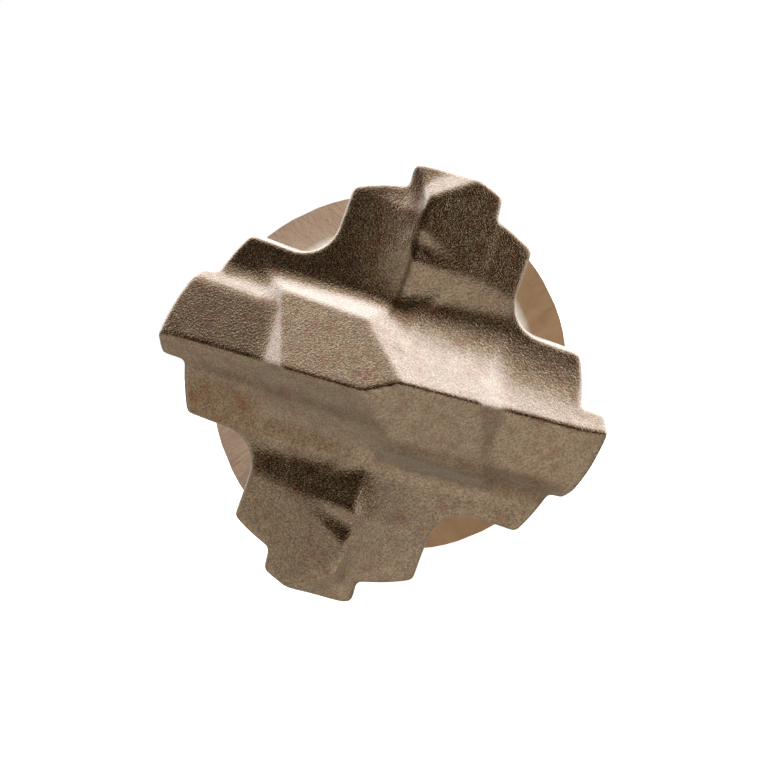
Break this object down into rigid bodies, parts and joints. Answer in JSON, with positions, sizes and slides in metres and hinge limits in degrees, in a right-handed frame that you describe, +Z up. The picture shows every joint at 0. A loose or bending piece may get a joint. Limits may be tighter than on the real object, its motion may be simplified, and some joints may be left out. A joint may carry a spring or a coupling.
{
  "type": "sds plus drill bit",
  "caption": "Right-hand hammer drill bit with a solid carbide cross head, helical flutes and a grooved quick-change shank.",
  "frame": {"origin": "on the ground under the middle of the bit, which lies flat on its lands", "axes": "+Y along the bit's axis from the cutting tip towards the shank, +Z up"},
  "size_m": [0.0106, 0.16, 0.0105],
  "materials": {
    "sintered_carbide": "sintered and sand-blasted, warm brown metal",
    "blasted_steel": "shot-blasted alloy steel, slightly warm"
  },
  "bodies": {
    "root": {"carbide_head": "sintered_carbide", "steel_body": "blasted_steel"}
  },
  "joints": []
}
